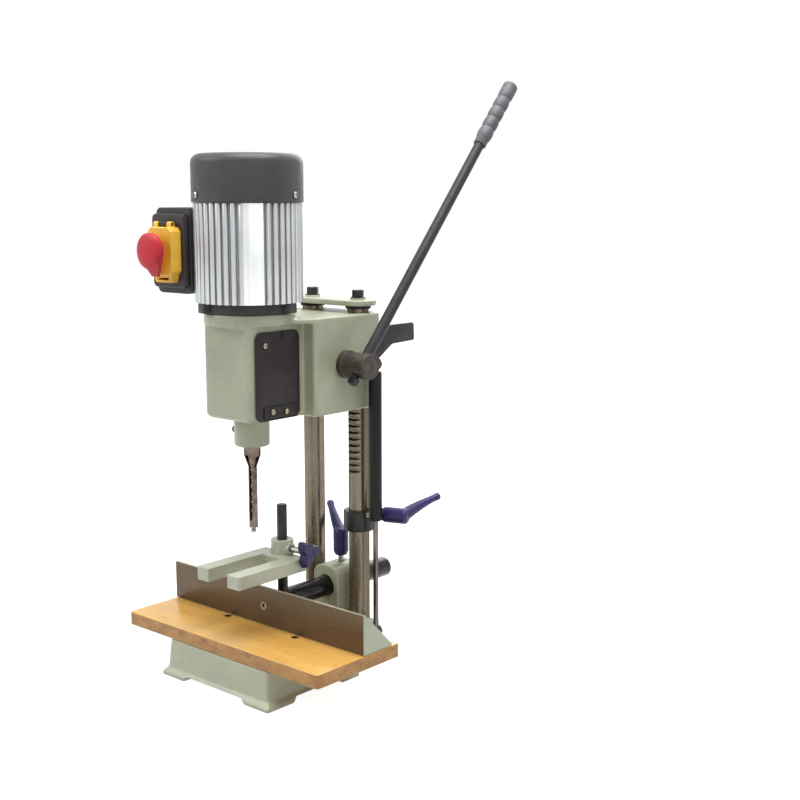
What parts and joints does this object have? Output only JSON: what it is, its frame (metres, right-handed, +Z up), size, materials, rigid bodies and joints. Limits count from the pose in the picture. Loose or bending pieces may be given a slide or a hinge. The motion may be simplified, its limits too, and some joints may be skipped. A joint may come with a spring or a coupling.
{
  "type": "hollow chisel bench mortiser",
  "caption": "Bench mortiser: a motor head with a hollow chisel slides on two round columns by rack and lever over a wooden table with a fence and a forked hold-down.",
  "frame": {"origin": "point on the wooden table's top face that lies on the chisel's axis", "axes": "+Z up along the chisel, +Y from the operator towards the columns, +X to the operator's right along the fence"},
  "size_m": [0.318, 0.4684, 0.6976],
  "materials": {
    "casting_paint": "semi-gloss grey-green paint on cast iron",
    "fence_paint": "semi-gloss grey-green paint, bare ground front",
    "plate_paint": "semi-gloss pale grey-green paint",
    "table_board": "varnished board with raw edges",
    "ground_bar": "ground steel bar",
    "bright_steel": "bright zinc-plated steel",
    "black_steel": "black oxide steel, oiled",
    "strut_black": "semi-gloss black paint",
    "brass_screw": "yellow-plated screw",
    "rubber_ring": "black rubber",
    "black_plastic": "finely textured moulding",
    "cover_plastic": "finely textured grey moulding",
    "grip_rubber": "soft grey grip",
    "lever_plastic": "blue-violet moulding",
    "yellow_plastic": "yellow moulding",
    "red_plastic": "red moulding",
    "green_plastic": "green moulding",
    "motor_aluminium": "bare ribbed aluminium extrusion",
    "lamination_steel": "stacked sheet steel",
    "chisel_steel": "ground tool steel, slightly browned"
  },
  "bodies": {
    "stand": {"base_casting": "casting_paint", "wooden_table": "table_board", "table_screw_left": "black_steel", "table_screw_right": "black_steel", "column_left": "ground_bar", "column_right": "ground_bar", "column_top_plate": "plate_paint", "column_top_bolt_left": "black_steel", "column_top_bolt_right": "black_steel", "buffer_ring_left": "rubber_ring", "buffer_ring_right": "rubber_ring", "strut_rod": "bright_steel", "strut_lower_bolt": "black_steel"},
    "fence_carriage": {"fence": "fence_paint", "fence_screw": "brass_screw", "fence_slide_bar": "black_steel", "hold_down_post": "black_steel"},
    "fence_lock": {"fence_lock_stud": "bright_steel", "fence_lock_lever": "lever_plastic"},
    "hold_down": {"hold_down_fork": "plate_paint"},
    "hold_down_clamp": {"hold_down_stud": "bright_steel", "hold_down_knob": "lever_plastic"},
    "depth_stop": {"depth_stop_collar": "black_steel", "depth_stop_screw": "bright_steel"},
    "depth_stop_clamp": {"depth_stop_stud": "bright_steel", "depth_stop_lever": "lever_plastic"},
    "head": {"head_casting": "casting_paint", "access_cover": "black_plastic", "access_cover_screw_upper": "bright_steel", "access_cover_screw_front": "bright_steel", "access_cover_screw_rear": "bright_steel", "chisel_lock_screw": "black_steel", "hollow_chisel": "chisel_steel", "motor_end_shield": "black_plastic", "motor_body": "motor_aluminium", "motor_top_shield": "motor_aluminium", "fan_cover": "cover_plastic", "fan_cover_screw_right": "bright_steel", "fan_cover_screw_left": "bright_steel", "motor_stator": "lamination_steel", "bearing_lower": "bright_steel", "bearing_upper": "bright_steel", "strut_tube": "strut_black", "strut_bracket": "strut_black", "strut_upper_bolt": "black_steel", "switch_box": "black_plastic", "switch_plate": "black_plastic"},
    "spindle": {"rotor_shaft": "bright_steel", "cooling_fan": "black_plastic", "drill_chuck": "black_steel", "auger_bit": "chisel_steel"},
    "switch_lid": {"switch_flap": "yellow_plastic"},
    "stop_pusher": {"stop_paddle": "red_plastic"},
    "start_push": {"start_button": "green_plastic"},
    "stop_push": {"stop_button": "red_plastic"},
    "feed_shaft": {"pinion_shaft": "ground_bar", "feed_hub": "black_steel", "hub_set_screw": "black_steel", "feed_lever": "black_steel", "lever_grip": "grip_rubber"}
  },
  "joints": [
    {"name": "head_slide", "type": "slide", "parent": "stand", "child": "head", "axis": [0, 0, 1], "range_m": [-0.1, 0], "stiffness_N_per_m": 300, "springref_m": 0.7},
    {"name": "feed_turn", "type": "hinge", "parent": "head", "child": "feed_shaft", "pos_m": [0, 0.0925, 0.305], "axis": [1, 0, 0], "range_deg": [0, 165]},
    {"name": "spindle_spin", "type": "hinge", "parent": "head", "child": "spindle", "pos_m": [0, 0, 0.4], "axis": [0, 0, 1], "continuous": true},
    {"name": "fence_travel", "type": "slide", "parent": "stand", "child": "fence_carriage", "axis": [0, 1, 0], "range_m": [-0.006, 0.055]},
    {"name": "fence_lock_turn", "type": "hinge", "parent": "stand", "child": "fence_lock", "pos_m": [0, 0.1445, 0.07], "axis": [0, 0, 1], "range_deg": [-90, 10]},
    {"name": "hold_down_travel", "type": "slide", "parent": "fence_carriage", "child": "hold_down", "axis": [0, 0, 1], "range_m": [-0.012, 0.025]},
    {"name": "hold_down_knob_turn", "type": "hinge", "parent": "hold_down", "child": "hold_down_clamp", "pos_m": [0.03, 0.0445, 0.088], "axis": [1, 0, 0], "range_deg": [-180, 180]},
    {"name": "depth_stop_travel", "type": "slide", "parent": "stand", "child": "depth_stop", "axis": [0, 0, 1], "range_m": [-0.045, 0.02]},
    {"name": "depth_stop_lever_turn", "type": "hinge", "parent": "depth_stop", "child": "depth_stop_clamp", "pos_m": [0.06587, 0.14727, 0.1185], "axis": [0.9455, 0.3256, 0], "range_deg": [-45, 45]},
    {"name": "switch_flap_turn", "type": "hinge", "parent": "head", "child": "switch_lid", "pos_m": [-0.068, -0.0626, 0.4652], "axis": [-1, 0, 0], "range_deg": [0, 90]},
    {"name": "stop_paddle_press", "type": "slide", "parent": "switch_lid", "child": "stop_pusher", "axis": [0, 1, 0], "range_m": [0, 0.0035], "stiffness_N_per_m": 300, "springref_m": -0.003},
    {"name": "stop_button_press", "type": "slide", "parent": "head", "child": "stop_push", "axis": [0, 1, 0], "range_m": [0, 0.0035], "stiffness_N_per_m": 300, "springref_m": -0.003},
    {"name": "start_button_press", "type": "slide", "parent": "head", "child": "start_push", "axis": [0, 1, 0], "range_m": [0, 0.0035], "stiffness_N_per_m": 300, "springref_m": -0.003}
  ],
  "couplings": [
    {"joint": "feed_turn", "follows": "head_slide", "rad_per_m": -28.571},
    {"joint": "stop_button_press", "follows": "stop_paddle_press", "ratio": 1}
  ]
}
